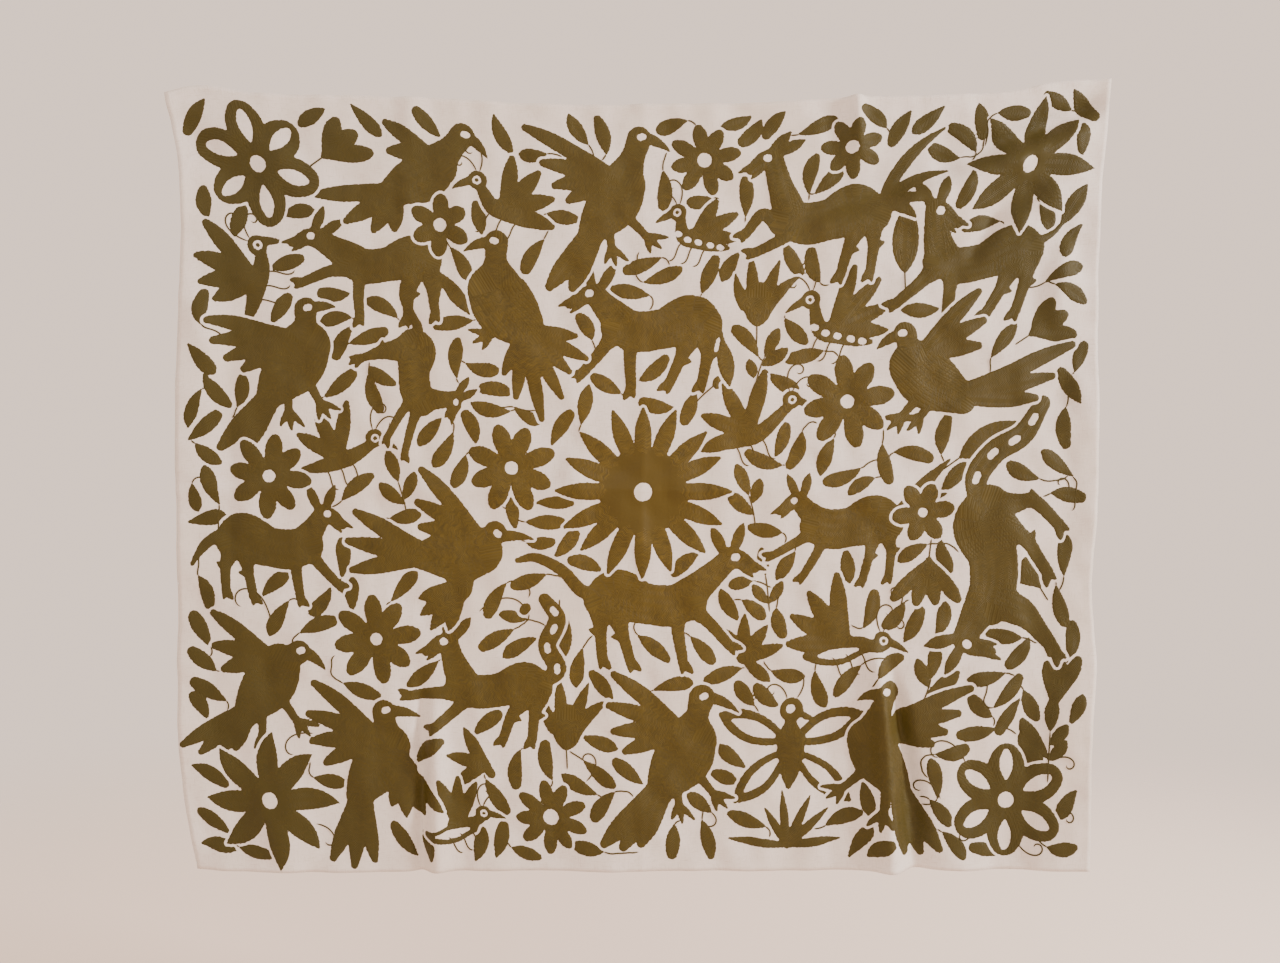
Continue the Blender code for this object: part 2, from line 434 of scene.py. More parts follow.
def stroke(*knots):
    """A filled stroke along a smooth curve through its knots, each an a, b and half width."""
    knots = np.array(knots, float)
    slopes = np.gradient(knots, axis=0)
    pieces = []
    for start, end, leave, arrive in zip(knots, knots[1:], slopes, slopes[1:]):
        steps = max(2, int(np.hypot(*(end - start)[:2]) / KNOT_SPACING))
        t = np.linspace(0, 1, steps, endpoint=False)[:, None]
        pieces.append(
            start * (1 + 2 * t) * (1 - t) ** 2 + leave * t * (1 - t) ** 2
            + end * t**2 * (3 - 2 * t) + arrive * t**2 * (t - 1)
        )
    return [("fill", np.concatenate(pieces + [knots[-1:]]))]


def blade(a, b, heading, length, width, root=0.3, tip=0.15, fullest=0.6, bend=0.0, kind="fill"):
    """A leaf, petal or feather: it swells from its root to its half width and narrows to its tip.
    Root and tip are shares of that half width."""
    path = walk(a, b, heading - bend / 2, length - tip * width, bend)
    t = np.linspace(0, 1, len(path))
    swell = root + (1 - root) * np.sin(np.pi / 2 * np.clip(t / fullest, 0, 1))
    narrow = tip + (1 - tip) * np.cos(np.pi / 2 * np.clip((t - fullest) / (1 - fullest), 0, 1))
    return [(kind, np.column_stack([path, width * np.minimum(swell, narrow)]))]


def dot(a, b, radius, long=0.0, heading=0.0, kind="hole"):
    """A round spot, or one drawn out along its heading."""
    reach = long / 2 * toward(heading)
    ends = [[a - reach[0], b - reach[1], radius], [a + reach[0], b + reach[1], radius]]
    return [(kind, np.array(ends))]


def line(a, b, heading, length, bend=0.0, curl=0.0):
    """One line of outline stitch, such as a stem, a feeler or a thin leg."""
    path = walk(a, b, heading, length, bend, curl, steps=max(8, int(length / 3)))
    return [("line", np.column_stack([path, np.full(len(path), THREAD)]))]


def placed(shapes, a, b, turn=0.0, size=1.0, facing=1):
    """The shapes at their place on the panel. Facing -1 turns them over, to face left."""
    cos, sin = toward(turn)
    out = []
    for kind, path in shapes:
        x, y = path[:, 0] * size * facing, path[:, 1] * size
        width = path[:, 2] * (1 if kind == "line" else size)
        out.append((kind, np.column_stack([a + x * cos - y * sin, b + x * sin + y * cos, width])))
    return out


def all_placed(table):
    """The shapes of each row of a table, at the place that the row gives before them."""
    return [shape for *place, shapes in table for shape in placed(shapes, *place)]


def fan(a, b, first, last, lengths, width, **shape):
    """Blades that spread from one place, between two headings."""
    headings = np.linspace(first, last, len(lengths))
    return [s for h, length in zip(headings, lengths) for s in blade(a, b, h, length, width, **shape)]


def nearest(path, a, b):
    """How deep each place lies inside a stroke, how far along its line, and how far aside. The stroke
    is what a circle sweeps whose radius changes evenly from each row of its path to the next."""
    start, end = path[:-1], path[1:]
    move = end[:, :2] - start[:, :2]
    length = np.hypot(move[:, 0], move[:, 1]) + 1e-9
    from_a, from_b = a[..., None] - start[:, 0], b[..., None] - start[:, 1]
    share = np.clip((from_a * move[:, 0] + from_b * move[:, 1]) / length**2, 0, 1)
    off_a, off_b = from_a - share * move[:, 0], from_b - share * move[:, 1]
    depth = start[:, 2] + share * (end[:, 2] - start[:, 2]) - np.hypot(off_a, off_b)
    along = np.cumsum(length) - length + share * length
    aside = (move[:, 0] * off_b - move[:, 1] * off_a) / length
    best = depth.argmax(axis=-1)[..., None]
    return [np.take_along_axis(values, best, -1)[..., 0] for values in (depth, along, aside)]


def around(path, grid):
    """The rows and columns of a grid, given by its lines along a and b, that a stroke can touch."""
    room = path[:, 2].max() + 6
    lines_a, lines_b = grid
    columns = np.searchsorted(lines_a, [path[:, 0].min() - room, path[:, 0].max() + room])
    rows = np.searchsorted(lines_b, [path[:, 1].min() - room, path[:, 1].max() + room])
    return slice(*rows), slice(*columns)


def blended(one, other, over=2.0):
    """The greater of two depths, rounded off where they come close, so that shapes flow together."""
    share = np.clip(0.5 + 0.5 * (one - other) / over, 0, 1)
    return other + (one - other) * share + over * share * (1 - share)


def drawn(strokes):
    """The depth inside all the strokes at each place of the grid, the number of the stroke whose
    stitches cover it, and the depth as it is before any hole. Fillings come first, bare holes next, and
    pupils in the holes last."""
    field, own = np.full(grid_a.shape, -FAR), np.full(grid_a.shape, -FAR)
    owner = np.zeros(grid_a.shape, int)
    whole = field
    for kind in ("fill", "hole", "pupil"):
        whole = field.copy() if kind == "hole" else whole
        for number, (what, path) in enumerate(strokes):
            window = around(path, (drawn_a, drawn_b))
            if what != kind or 0 in grid_a[window].shape:
                continue
            depth = nearest(path, grid_a[window], grid_b[window])[0]
            if kind == "hole":
                field[window] = np.minimum(field[window], -depth)
                continue
            depth += FULLNESS
            field[window] = (blended if kind == "fill" else np.maximum)(field[window], depth)
            owner[window] = np.where(depth > own[window], number, owner[window])
            own[window] = np.maximum(own[window], depth)
    return field, owner, whole


def cut_out(field):
    """The part of the grid where the field is over 0, as triangles. Border corners lie where the field
    crosses 0 along a grid line. It returns places, depths, triangles, and the cell of each triangle."""
    inside = field > 0
    corner = np.cumsum(inside).reshape(inside.shape) - 1
    total = int(inside.sum())
    level = inside[:, 1:] != inside[:, :-1]
    upright = inside[1:] != inside[:-1]
    on_level = np.cumsum(level).reshape(level.shape) - 1 + total
    on_upright = np.cumsum(upright).reshape(upright.shape) - 1 + total + int(level.sum())
    share = (field / (field - np.roll(field, -1, axis=1)))[:, :-1][level]
    level_a = drawn_a[:-1][np.nonzero(level)[1]] + share * (drawn_a[1] - drawn_a[0])
    rise = (field / (field - np.roll(field, -1, axis=0)))[:-1][upright]
    upright_b = drawn_b[:-1][np.nonzero(upright)[0]] + rise * (drawn_b[1] - drawn_b[0])
    places = np.concatenate([
        np.column_stack([grid_a[inside], grid_b[inside]]),
        np.column_stack([level_a, drawn_b[np.nonzero(level)[0]]]),
        np.column_stack([drawn_a[np.nonzero(upright)[1]], upright_b]),
    ])
    depths = np.concatenate([field[inside], np.zeros(len(places) - total)])
    # Round each cell from its low left corner: a corner, the side after it, and so on.
    numbers = np.stack([corner[:-1, :-1], on_level[:-1], corner[:-1, 1:], on_upright[:, 1:],
                        corner[1:, 1:], on_level[1:], corner[1:, :-1], on_upright[:, :-1]], axis=-1)
    corners = np.stack([inside[:-1, :-1], inside[:-1, 1:], inside[1:, 1:], inside[1:, :-1]], axis=-1)
    code = corners @ np.array([1, 2, 4, 8])
    triangles, cells = [], []
    for case in range(1, 16):
        has = [bool(case >> i & 1) for i in range(4)]
        ring = [[2 * i] * has[i] + [2 * i + 1] * (has[i] != has[(i + 1) % 4]) for i in range(4)]
        ring = sum(ring, [])
        at = np.argwhere(code == case)
        ids = numbers[at[:, 0], at[:, 1]]
        for second, third in zip(ring[1:], ring[2:]):
            triangles.append(ids[:, [ring[0], second, third]])
            cells.append(at)
    return places, depths, np.concatenate(triangles), np.concatenate(cells)


def on_cloth(a, b, lift, back=False):
    """Points that stand by their lift, in metres, on the front or back of the hanging panel, at places
    drawn on the flat panel. The panel's grid is read between its four nearest corners."""
    sheet, away = (cloth_back, -facing) if back else (cloth_front, facing)
    share_a, share_b = np.clip(a / WIDE + 0.5, 0, 1), np.clip(-b / TALL, 0, 1)
    column = np.clip(np.searchsorted(column_shares, share_a) - 1, 0, len(column_shares) - 2)
    row = np.clip(np.searchsorted(row_shares, share_b) - 1, 0, len(row_shares) - 2)
    u = (share_a - column_shares[column]) / (column_shares[column + 1] - column_shares[column])
    v = (share_b - row_shares[row]) / (row_shares[row + 1] - row_shares[row])
    u, v = u[..., None], v[..., None]

    def between(values):
        upper = values[row, column] * (1 - u) + values[row, column + 1] * u
        lower = values[row + 1, column] * (1 - u) + values[row + 1, column + 1] * u
        return upper * (1 - v) + lower * v

    return between(sheet) + between(away) * np.asarray(lift)[..., None]


ROUND = np.radians(np.array([-25, 30, 90, 150, 205]))  # the half round of a line of outline stitch


def corded(path):
    """A line of outline stitch as a low half-round cord, drawn to a point at both ends. It returns its
    places, lifts, quads and the metres along and aside of each point."""
    step = np.gradient(path[:, :2], axis=0)
    step /= np.linalg.norm(step, axis=1, keepdims=True)
    t = np.linspace(0, 1, len(path))
    width = path[:, 2] * np.sqrt(np.clip(np.minimum(t, 1 - t) * CORD_TAPER, 0, 1)) + 0.02
    aside = np.cos(ROUND)[None, :] * width[:, None]
    a = path[:, :1] - step[:, 1:] * aside
    b = path[:, 1:2] + step[:, :1] * aside
    lift = np.sin(ROUND)[None, :] * width[:, None] * CORD_RISE + CORD_LIFT
    along = np.concatenate([[0], np.cumsum(np.hypot(*np.diff(path[:, :2], axis=0).T))])
    number = np.arange(a.size).reshape(a.shape)
    quads = np.stack([number[:-1, :-1], number[:-1, 1:], number[1:, 1:], number[1:, :-1]], axis=-1)
    uv = np.stack([np.broadcast_to(along[:, None], a.shape), aside], axis=-1) / 1000
    places = np.stack([a, b], axis=-1)
    return places.reshape(-1, 2), lift.ravel(), quads.reshape(-1, 4), uv.reshape(-1, 2)


def thread_piece(name, points, faces, uv):
    """A piece of floss, which rides with the cloth."""
    piece = new_piece(name, points, faces, floss_material)
    give_uv(piece, "stitches", uv)
    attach(piece, "root")
    return piece


def embroider(name, strokes):
    """One piece of embroidery on the front of the panel: the filled shapes of its strokes, kept clear
    of what is worked already, and its lines of outline stitch."""
    field, owner, whole = drawn(strokes)
    field += stitch_dice.uniform(-SERRATION, SERRATION, field.shape)
    field = np.minimum(field, -(taken + GAP))
    places, depths, triangles, cells = cut_out(field)
    np.maximum(worked, field, out=worked)
    np.maximum(taken, whole, out=taken)
    uv = np.zeros((len(triangles), 3, 2))
    owners = owner[cells[:, 0], cells[:, 1]]
    for number in np.unique(owners):
        mine = owners == number
        corner = places[triangles[mine]]
        _, along, aside = nearest(strokes[number][1], corner[..., 0], corner[..., 1])
        uv[mine] = np.stack([along, aside + ROW_SHIFT * (number % 7)], axis=-1) / 1000
    full = 1 - np.exp(-depths / FLOSS_ROUND)
    uneven = UNEVENNESS * stitch_dice.standard_normal(len(depths))
    lift = FLOSS_HEIGHT * full - FLOSS_SINK * (1 - full) + uneven * full
    all_places, all_lifts, all_faces, all_uv = [places], [lift], [triangles], [uv.reshape(-1, 2)]
    count = len(places)
    for kind, path in strokes:
        if kind != "line":
            continue
        spots, lifts, quads, flat_uv = corded(path)
        halves = np.concatenate([quads[:, [0, 1, 2]], quads[:, [0, 2, 3]]])
        all_places.append(spots)
        all_lifts.append(lifts)
        all_faces.append(halves + count)
        all_uv.append(flat_uv[halves].reshape(-1, 2))
        count += len(spots)
    places, lifts = np.concatenate(all_places), np.concatenate(all_lifts)
    points = on_cloth(places[:, 0], places[:, 1], lifts)
    return thread_piece(name, points, np.concatenate(all_faces), np.concatenate(all_uv))


# Stranded cotton floss, dyed olive-mustard: rows of slanting stitches that catch a soft light.
# Stitches lie 1 mm apart in rows 11 mm deep, and are drawn twice as coarse, or they would not show.
FLOSS, FLOSS_DARK, FLOSS_LIGHT = "50400B", "392D05", "634F14"
FLOSS_PAINTED_SHADE = "3A3207"  # painted shade: the darker, greener colour that the floss is drawn in away from the panel's middle
PANEL_MIDDLE = (0.0, 0.0, -0.49)
STITCH_PITCH, STITCH_ROW = 0.0021, 0.011


def floss():
    """Rows of slanting stitches, each of fine strands, with painted shade that turns them darker and
    greener away from the middle.
    """
    material, tree, shader = new_material("stranded_cotton_floss_olive_mustard", 0.6, 0.25)
    place = add_node(tree, "UVMap", uv_map="stitches").outputs["UV"]
    split = add_node(tree, "SeparateXYZ", {0: place}).outputs
    row = add_node(tree, "Math", {0: split[1], 1: STITCH_ROW / 2}, operation="PINGPONG").outputs[0]
    slant = add_node(tree, "Math", {0: row, 1: 0.55, 2: split[0]}, operation="MULTIPLY_ADD").outputs[0]
    slanted = add_node(tree, "CombineXYZ", {0: slant, 1: split[1]}).outputs[0]
    wave = add_node(
        tree, "TexWave", {"Vector": slanted, "Scale": WAVE_PERIOD / STITCH_PITCH, "Distortion": 1.2,
                          "Detail": 1.0, "Detail Scale": 0.4}).outputs["Fac"]
    stretched = add_node(tree, "Mapping", {"Vector": slanted, "Scale": (420, 60, 1)}).outputs[0]
    strand = noise(tree, stretched, 1.0, 2.0)
    solid = add_node(tree, "TexCoord").outputs["Object"]
    outward = add_node(tree, "VectorMath", {0: solid, 1: PANEL_MIDDLE}, operation="DISTANCE")
    outward = outward.outputs["Value"]
    base = mixed(tree, ranged(tree, strand, 0.3, 0.7), linear(FLOSS_DARK), linear(FLOSS_LIGHT))
    dye = ranged(tree, noise(tree, solid, 14.0, 3.0), 0.35, 0.65, 0.35, 0.75)
    base = mixed(tree, dye, base, linear(FLOSS))
    # Painted shade: the floss is mixed towards a darker, greener colour the further it lies from the
    # panel's middle.
    base = mixed(tree, ranged(tree, outward, 0.1, 0.6, 0.0, 0.85), base, linear(FLOSS_PAINTED_SHADE))
    height = add_node(tree, "Math", {0: strand, 1: 0.8, 2: wave}, operation="MULTIPLY_ADD").outputs[0]
    bump = add_node(tree, "Bump", {"Strength": 0.5, "Distance": 0.0005, "Height": height})
    tree.links.new(base, shader.inputs["Base Color"])
    tree.links.new(bump.outputs[0], shader.inputs["Normal"])
    return material


floss_material = floss()

# ------------------------------------------------------------
# The flowers. A round of bare cloth is left at the heart of each. Two have bare slots along their
# petals, two are stars with pointed petals, and the greatest is a sun in the panel's middle.
# ------------------------------------------------------------


def flower(petals, radius, turn, hole, width=0.53, root=0.4, tip=0.6, fullest=0.68, slot=0.0,
           core=0.3, inner=0.2, uneven=0.6, bend=0.0):
    """A flower from above. Its petals run out from a core with a bare hole, and slotted ones have an
    opening along their middle. Hole, core and inner, where the petals start, are shares of its
    radius."""
    half_width = width * radius * np.sin(np.pi / petals)
    shapes, slots = dot(0, 0, core * radius, kind="fill"), []
    for i in range(petals):
        heading = turn + 360 * i / petals + 5 * uneven * np.sin(2.3 * i)
        reach = radius * (1 + 0.07 * uneven * np.sin(4.1 * i + 1))
        shapes += blade(*(inner * radius * toward(heading)), heading, reach - inner * radius,
                        half_width, root=root, tip=tip, fullest=fullest, bend=bend)
        if slot:
            slots += blade(*(0.36 * radius * toward(heading)), heading, 0.5 * radius,
                           slot * half_width, root=0.1, tip=0.5, fullest=0.62, kind="hole")
    return shapes + slots + dot(0, 0, hole * radius)


SLOTTED = dict(width=0.64, slot=0.34, hole=0.13, tip=0.8, root=0.5)
STAR = dict(width=0.42, tip=0.03, root=0.68, fullest=0.42, hole=0.11, core=0.32)
SUN = dict(width=0.5, tip=0.16, root=0.85, fullest=0.42, hole=0.1, core=0.5, inner=0.42, uneven=0.35)
FLOWERS = (
    # a, b, flower
    (-498, -92, flower(6, 79, -18, **SLOTTED)),
    (-264, -164, flower(6, 40, -30, hole=0.2)),
    (82, -74, flower(8, 46, 12, hole=0.19)),
    (272, -66, flower(7, 39, 20, hole=0.2)),
    (502, -100, flower(8, 84, -8, **STAR)),
    (-164, -476, flower(8, 58, 22, hole=0.14)),
    (8, -506, flower(16, 113, 0, **SUN)),
    (274, -394, flower(8, 60, 10, hole=0.14)),
    (-480, -492, flower(8, 54, -6, hole=0.14)),
    (374, -538, flower(6, 40, 8, hole=0.14)),
    (-340, -700, flower(8, 57, 8, hole=0.13)),
    (-486, -908, flower(8, 88, -2, bend=-30, **STAR)),
    (-116, -930, flower(9, 48, 20, hole=0.2)),
    (492, -910, flower(6, 76, 28, **SLOTTED)),
)
flowers = embroider("flowers", all_placed(FLOWERS))

# ------------------------------------------------------------
# The birds. The same floss and filling as the flowers. Each has a round head with a bare eye, a
# hooked beak, a wing and a tail of long feathers that spread like fingers, and three-toed feet.
# ------------------------------------------------------------


def down_from(a, b, lean, length):
    """The place at its length from a start, by a line that leans by its degrees from straight down."""
    return np.array([a, b]) + length * np.array([np.sin(np.radians(lean)), -np.cos(np.radians(lean))])


def foot(a, b, lean, length):
    """A bird's leg with its three toes."""
    end = down_from(a, b, lean, length)
    shapes = stroke((a, b, 8), (*(0.5 * np.array([a, b]) + 0.5 * end), 5.8), (*end, 4.8))
    for heading, reach in ((lean - 120, 24), (lean - 85, 27), (lean - 50, 30)):
        shapes += blade(*end, heading, reach, 4.0, root=1, tip=0.3, fullest=0.4)
    return shapes


def bird(neck, lean, beak, wing, tail, legs, body, head=1.0, wing_width=10.4, tail_width=11):
    """A bird that faces right, about the middle of its body. Lean is the heading of its neck. A beak
    is its heading and length. Wing and tail are fans, each a first heading, a last heading and the
    feathers' lengths. A leg is its lean and its length. Body and head are shares of their size."""
    shapes = stroke((-30, -50, 13 * body), (-16, -30, 21 * body), (2, -8, 28 * body),
                    (14, 14, 24 * body))
    top = np.array([10, 16]) + (neck + 18) * toward(lean)
    nape = np.array([10, 16]) + 0.55 * (neck + 18) * toward(lean) + [1.5, 0]
    shapes += stroke((10, 12, 24 * body), (*nape, 15.5), (*top, 15 * head))
    shapes += blade(top[0] + 8 * head, top[1] + 1, *beak, 7, root=1, tip=0.1, fullest=0.15, bend=-30)
    shapes += dot(top[0] + 3, top[1] + 2, 3.8, long=3.5, heading=15)
    shapes += stroke((12, 4, 20), (1.2, 13.2, 17))
    shapes += fan(2, 22, *wing, wing_width, root=1.1, tip=0.45, fullest=0.62, bend=14)
    shapes += fan(-22, -40, *tail, tail_width, root=1.1, tip=0.4, fullest=0.6)
    for number, (leaning, length) in enumerate(legs):
        shapes += foot(-8 + 22 * number, -28 + 6 * number, leaning, length)
    return shapes


BIRDS = (
    # a, b, turn, size, facing, bird
    (-284, -96, -25, 1.0, 1,
     bird(neck=39, lean=69, beak=(-26, 34), wing=(165, 198, (72, 56)),
          tail=(208, 292, (108, 80, 62, 52)), body=1.1, legs=())),
    (-38, -120, 0, 1.0, 1,
     bird(neck=47, lean=65, beak=(-30, 36), wing=(149, 205, (133, 98, 82, 70)),
          tail=(233, 250, (104, 90)), tail_width=14, body=1.2, legs=((10, 38), (45, 42)))),
    (-176, -258, 6, 1.0, -1,
     bird(neck=42, lean=94, beak=(-16, 38), wing=(196, 212, (34, 26)),
          tail=(192, 300, (70, 92, 84, 104, 122, 92, 66)), tail_width=9, legs=((64, 34),), body=1.45)),
    (-450, -338, 0, 1.0, 1,
     bird(neck=28, lean=87, beak=(4, 32), wing=(172, 212, (120, 112, 100, 84)),
          tail=(229, 244, (114, 98)), tail_width=13, body=1.35, legs=((4, 40), (30, 40)))),
    (378, -358, 20, 1.0, -1,
     bird(neck=24, lean=89, beak=(-12, 34), wing=(152, 190, (116, 98, 82)),
          tail=(181, 206, (168, 134, 112)), tail_width=11, body=1.35, legs=((58, 40), (62, 40)))),
    (-224, -584, -50, 1.0, 1,
     bird(neck=11, lean=95, beak=(48, 46), wing=(180, 218, (122, 98, 82)),
          tail=(200, 240, (118, 114, 108)), legs=(), body=1.25) + stroke((8, -12, 20), (34, -36, 17))
     + fan(34, -34, 246, 304, (58, 66, 70, 60), 10, root=1.1)),
    (-482, -750, 0, 1.0, 1,
     bird(neck=17, lean=29, beak=(-42, 36), wing=(143, 194, (97, 78, 66)),
          tail=(208, 246, (106, 94, 78, 62)), tail_width=10, legs=((0, 44), (35, 40)), body=1.2)),
    (-340, -852, 0, 1.0, 1,
     bird(neck=25, lean=90, beak=(-14, 40), wing=(139, 202, (116, 102, 92, 80)),
          tail=(240, 272, (108, 106, 96)), legs=(), body=1.2) + stroke((16, 0, 22), (34, -18, 16))
     + fan(34, -18, 246, 312, (50, 60, 64, 72), 9.5, root=1.1)),
    (62, -844, 0, 1.0, 1,
     bird(neck=37, lean=74, head=1.15, beak=(-26, 46), tail_width=14, body=1.35,
          wing=(140, 196, (126, 110, 96, 84)), tail=(222, 244, (124, 110, 94)),
          legs=((2, 40), (38, 42)))),
    (322, -846, 0, 1.0, -1,
     bird(neck=44, lean=108, beak=(-18, 34), wing=(154, 190, (138, 114, 94, 78)),
          tail=(237, 264, (108, 102, 94)), tail_width=13, body=1.15, legs=((6, 48), (53, 42)))),
)
birds = embroider("birds", all_placed(BIRDS))

# ------------------------------------------------------------
# The deer. The same floss and filling. Each has a long neck, an open mouth, a round bare eye, two
# pointed ears, and thin bent legs that end in two toes. Some tails are a leaf, a plume or a
# spotted scroll.
# ------------------------------------------------------------
THIGH, SHIN = 36, 33  # mm


def leg(a, b, hip, thigh, shin, hind, stride):
    """A deer's leg. Thigh and shin lean forward by their degrees from straight down, and a hind leg
    has its hock behind."""
    knee = down_from(a, b, thigh, THIGH * stride)
    ankle = down_from(*knee, shin, SHIN * stride)
    thick = (*(0.45 * np.array([a, b]) + 0.55 * knee), 0.62 * hip)
    shapes = stroke((a, b, hip), thick, (*knee, 8.0), (*ankle, 6.6))
    if hind:
        shapes += blade(*knee, 165 + thigh, 16, 5.5, root=1, tip=0.2, fullest=0.2)
    shapes += blade(*ankle, -55 + shin, 19, 5.6, root=1, tip=0.35, fullest=0.3)
    return shapes + blade(*ankle, -104 + shin, 15, 4.6, root=1, tip=0.35, fullest=0.3)


def head_of_deer(a, b, turn, facing, ears):
    """A head with its open mouth, its eye and two ears, about the top of the neck. Ears are their
    headings."""
    shapes = stroke((0, 0, 13.5), (12, -2, 12), (24, -8, 8.5), (33, -14, 5.5))
    shapes += blade(26, -7, -22, 24, 4.4, root=1, tip=0.25, fullest=0.2)
    shapes += blade(16, -12, -40, 21, 4.0, root=1, tip=0.25, fullest=0.2)
    shapes += blade(-8, 6, ears[0], 40, 7.6, root=0.6, tip=0.12, fullest=0.5)
    shapes += blade(3, 8, ears[1], 40, 7.4, root=0.6, tip=0.12, fullest=0.5)
    return placed(shapes + dot(7, 1, 4.6, long=1.5), a, b, turn, facing=facing)


def deer(neck, reach, front, hind, girth, tail, head=0, facing=1, ears=(118, 72), stride=1.0):
    """A deer that faces right, about the middle of its body. Neck and reach are the neck's heading and
    its length, and each leg is its thigh's and shin's degrees. Facing is -1 where it looks behind it.
    Girth and stride are shares of the usual body and leg."""
    shapes = stroke((-64, 0, 20 * girth), (-44, 6, 27 * girth), (-10, -5, 22 * girth),
                    (24, -9, 22 * girth), (50, -2, 20 * girth))
    top = np.array([50, 4]) + reach * toward(neck)
    nape = np.array([50, 4]) + 0.52 * reach * toward(neck)
    shapes += stroke((44, 0, 24), (*nape, 17), (*top, 13.5))
    shapes += head_of_deer(*top, head, facing, ears)
    for (thigh, shin), place in zip(front, ((54, -10), (34, -14))):
        shapes += leg(*place, 15, thigh, shin, False, stride)
    for (thigh, shin), place in zip(hind, ((-66, -8), (-46, -14))):
        shapes += leg(*place, 18, thigh, shin, True, stride)
    return shapes + placed(tail, -80, 10)


def tail_leaf(heading, bend, length, leaf_length):
    """A thin curved tail with a leaf at its end."""
    path = walk(10, -2, heading, length, bend, steps=6)
    shapes = stroke(*np.column_stack([path, (9, 6.5, 5, 4, 3.2, 2.6, 2.2)]))
    return shapes + blade(*path[-1], heading + bend, leaf_length, 11, root=0.2, tip=0.1, fullest=0.5)


def tail_plume(lengths, first, last, bend, width=8.5):
    """A tail of long feathers that spread from one place."""
    rump = stroke((12, -4, 10), (0, 4, 9))
    return rump + fan(0, 2, first, last, lengths, width, root=0.7, tip=0.15, fullest=0.4, bend=bend)


def tail_spotted(knots, width=13):
    """A thick curved tail through its knots, with bare spots along it."""
    widths = width * np.array([0.75, 1.0, 1.0, 0.95, 0.7])
    shapes = stroke(*np.column_stack([knots, widths]))
    path = shapes[0][1]
    for share in np.linspace(0.24, 0.9, 4):
        at = int(share * (len(path) - 2))
        shapes += dot(*path[at, :2], 3.8, long=7, heading=heading_at(path, at))
    return shapes


DEER = (
    # a, b, turn, size, facing, deer
    (-338, -212, 0, 0.88, -1,
     deer(neck=29, reach=58, head=8, front=((74, 66), (2, -6)), girth=1.15, hind=((-14, -10), (8, 6)),
          ears=(140, 104), tail=tail_leaf(250, -20, 30, 78)
          + blade(4, -8, 262, 62, 6, root=0.8, tip=0.1))),
    (22, -288, 0, 0.98, -1,
     deer(neck=48, reach=50, front=((38, 40), (0, -4)), hind=((-4, 10), (22, 24)), girth=1.22,
          tail=tail_leaf(215, 45, 36, 62))),
    (238, -152, 0, 0.95, -1,
     deer(neck=75, reach=82, head=-4, front=((118, 40), (58, 66)), hind=((-4, 4), (20, 14)),
          girth=1.35, ears=(160, 140), tail=tail_plume((50, 72, 104, 136), 202, 128, bend=46))),
    (442, -210, 2, 1.0, -1,
     deer(neck=82, reach=58, head=4, facing=-1, front=((50, 52), (8, 8)), hind=((10, 20), (30, 34)),
          girth=1.08, tail=tail_leaf(186, -62, 46, 56))),
    (-288, -360, -78, 0.68, 1,
     deer(neck=84, reach=58, head=0, front=((62, 66), (44, 50)), girth=1.35, hind=((2, 14), (-8, -4)),
          ears=(134, 108), stride=1.4,
          tail=stroke((12, 2, 10), (-12, 6, 9), (-42, -4, 9), (-78, -8, 10), (-112, 2, 5)))),
    (-474, -578, 0, 0.84, 1,
     deer(neck=58, reach=50, head=-6, front=((40, 44), (4, 8)), girth=1.38, hind=((-16, 2), (10, 14)),
          tail=stroke((14, -4, 10), (-8, -6, 9), (-30, -22, 7), (-46, -46, 3)))),
    (22, -646, 0, 1.0, 1,
     deer(neck=43, reach=72, front=((46, 40), (2, 8)), hind=((-2, 2), (14, 14)), girth=1.22,
          tail=stroke((12, -4, 9), (-12, 2, 8.5), (-38, 28, 7.5), (-72, 44, 6), (-96, 40, 3.5)))),
    (276, -552, 0, 0.78, -1,
     deer(neck=48, reach=50, head=-6, front=((60, 62), (24, 30)), girth=1.5, hind=((-14, 2), (10, 12)),
          ears=(112, 74), stride=1.15, tail=tail_plume((52, 92, 130), 178, 134, bend=10, width=11))),
    (462, -602, 92, 1.08, -1,
     deer(neck=34, reach=50, head=-40, front=((34, 50), (38, 62)), girth=1.34,
          hind=((2, 44), (40, 56)), stride=1.3,
          tail=tail_spotted(((14, 2), (-20, 4), (-50, -20), (-66, -54), (-98, -78)), width=14))),
    (-186, -760, 0, 0.9, -1,
     deer(neck=75, reach=60, front=((88, 84), (46, 50)), hind=((10, 6), (34, 20)), girth=1.08,
          ears=(130, 92), tail=tail_spotted(((10, -4), (-12, 16), (2, 50), (-14, 88), (4, 116))))),
)
deer_piece = embroider("deer", all_placed(DEER))

# ------------------------------------------------------------
# The bugs. The same floss and filling, with feelers and thin legs in single lines of outline
# stitch. Some have a bare slot or a row of bare spots along the belly, and one is a butterfly.
# ------------------------------------------------------------
FEELERS = ((112, 66, -60, -290), (70, 56, -70, -300))  # heading, length, bend, curl


